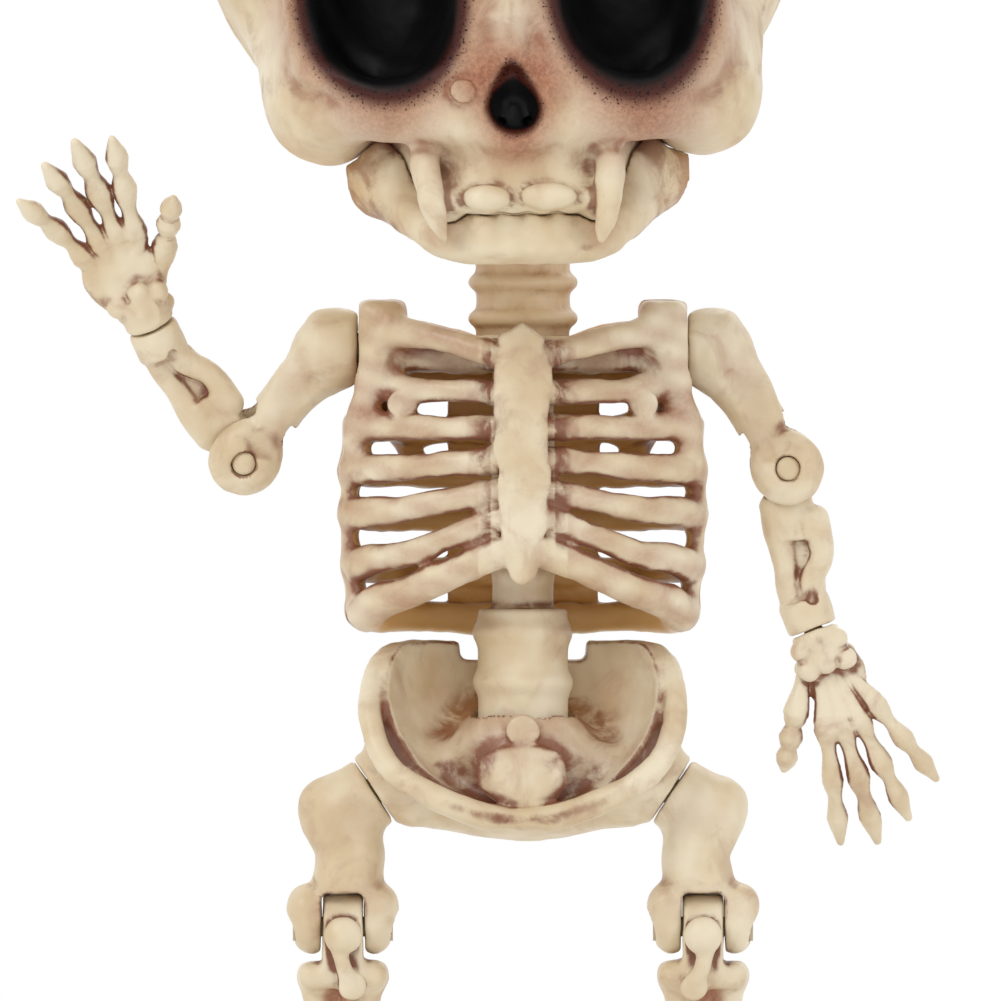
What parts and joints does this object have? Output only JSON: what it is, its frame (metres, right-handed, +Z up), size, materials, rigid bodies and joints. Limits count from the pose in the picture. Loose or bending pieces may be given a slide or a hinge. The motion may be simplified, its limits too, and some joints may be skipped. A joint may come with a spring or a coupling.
{
  "type": "posable halloween skeleton figure",
  "caption": "Posable plastic skeleton with an oversized round skull, hinged jaw, open ribcage, jointed limbs and one raised waving hand.",
  "frame": {"origin": "on the floor, under the middle of the figure's box at rest", "axes": "+Z up, the figure faces -Y, +X is its left"},
  "size_m": [0.2341, 0.152, 0.3978],
  "materials": {
    "bone_plastic": "moulded ivory plastic with a brown antiquing wash left in the recesses",
    "skull_plastic": "moulded ivory plastic, brown wash, gloss black sprayed in the eye sockets and nose",
    "peg_plastic": "plain off-white moulded pegs and pins",
    "screw_steel": "zinc plated pan-head screws"
  },
  "bodies": {
    "torso": {"ribcage_front": "bone_plastic", "ribcage_back": "bone_plastic", "torso_screws": "screw_steel", "spine": "bone_plastic", "pelvis": "bone_plastic", "pelvis_cover": "bone_plastic", "pelvis_screws": "screw_steel"},
    "neck_joint": {"neck_ball": "peg_plastic"},
    "head": {"skull_front": "skull_plastic", "skull_back": "skull_plastic", "jaw_pins": "peg_plastic"},
    "jaw": {"jaw": "skull_plastic"},
    "right_upper_arm": {"upper_arm_right": "bone_plastic", "shoulder_stud_right": "peg_plastic", "elbow_pin_right": "peg_plastic"},
    "right_forearm": {"forearm_right": "bone_plastic"},
    "right_hand": {"hand_right": "bone_plastic"},
    "right_thigh": {"thigh_right": "bone_plastic", "hip_stud_right": "peg_plastic", "knee_pin_right": "peg_plastic"},
    "right_shin": {"shin_right": "bone_plastic", "ankle_pin_right": "peg_plastic"},
    "right_foot": {"foot_right": "bone_plastic"},
    "left_upper_arm": {"upper_arm_left": "bone_plastic", "shoulder_stud_left": "peg_plastic", "elbow_pin_left": "peg_plastic"},
    "left_forearm": {"forearm_left": "bone_plastic"},
    "left_hand": {"hand_left": "bone_plastic"},
    "left_thigh": {"thigh_left": "bone_plastic", "hip_stud_left": "peg_plastic", "knee_pin_left": "peg_plastic"},
    "left_shin": {"shin_left": "bone_plastic", "ankle_pin_left": "peg_plastic"},
    "left_foot": {"foot_left": "bone_plastic"}
  },
  "joints": [
    {"name": "head_tilt", "type": "hinge", "parent": "torso", "child": "neck_joint", "pos_m": [0.012, -0.006, 0.23], "axis": [0, 1, 0], "range_deg": [-4, 11]},
    {"name": "head_turn", "type": "hinge", "parent": "neck_joint", "child": "head", "pos_m": [0.012, -0.006, 0.23], "axis": [-0.0645, 0, 0.9979], "range_deg": [-50, 50]},
    {"name": "jaw_open", "type": "hinge", "parent": "head", "child": "jaw", "pos_m": [0.00993, -0.014, 0.26193], "axis": [0.9979, 0, 0.0645], "range_deg": [0, 10]},
    {"name": "shoulder_swing_right", "type": "hinge", "parent": "torso", "child": "right_upper_arm", "pos_m": [-0.0354, -0.006, 0.205], "axis": [1, 0, 0], "range_deg": [-138, 42]},
    {"name": "elbow_bend_right", "type": "hinge", "parent": "right_upper_arm", "child": "right_forearm", "pos_m": [-0.05774, 0.00252, 0.17876], "axis": [0, 0.9511, 0.309], "range_deg": [-125, 0]},
    {"name": "wrist_turn_right", "type": "hinge", "parent": "right_forearm", "child": "right_hand", "pos_m": [-0.08074, -0.00778, 0.21047], "axis": [0.3923, 0.2842, -0.8748], "continuous": true},
    {"name": "shoulder_swing_left", "type": "hinge", "parent": "torso", "child": "left_upper_arm", "pos_m": [0.0594, -0.006, 0.205], "axis": [1, 0, 0], "range_deg": [-120, 60]},
    {"name": "elbow_bend_left", "type": "hinge", "parent": "left_upper_arm", "child": "left_forearm", "pos_m": [0.07821, -0.006, 0.17489], "axis": [0, -1, 0], "range_deg": [0, 125]},
    {"name": "wrist_turn_left", "type": "hinge", "parent": "left_forearm", "child": "left_hand", "pos_m": [0.08455, -0.006, 0.13489], "axis": [-0.3502, 0, 0.9367], "continuous": true},
    {"name": "hip_swing_right", "type": "hinge", "parent": "torso", "child": "right_thigh", "pos_m": [-0.025, -0.006, 0.0945], "axis": [0.8387, 0, 0.5446], "range_deg": [-90, 30]},
    {"name": "knee_bend_right", "type": "hinge", "parent": "right_thigh", "child": "right_shin", "pos_m": [-0.033, -0.006, 0.0605], "axis": [1, 0, 0], "range_deg": [0, 75]},
    {"name": "ankle_bend_right", "type": "hinge", "parent": "right_shin", "child": "right_foot", "pos_m": [-0.034, -0.006, 0.015], "axis": [1, 0, 0], "range_deg": [-25, 20]},
    {"name": "hip_swing_left", "type": "hinge", "parent": "torso", "child": "left_thigh", "pos_m": [0.049, -0.006, 0.0945], "axis": [0.8387, 0, -0.5446], "range_deg": [-90, 30]},
    {"name": "knee_bend_left", "type": "hinge", "parent": "left_thigh", "child": "left_shin", "pos_m": [0.057, -0.006, 0.0605], "axis": [1, 0, 0], "range_deg": [0, 75]},
    {"name": "ankle_bend_left", "type": "hinge", "parent": "left_shin", "child": "left_foot", "pos_m": [0.058, -0.006, 0.015], "axis": [1, 0, 0], "range_deg": [-25, 20]}
  ]
}
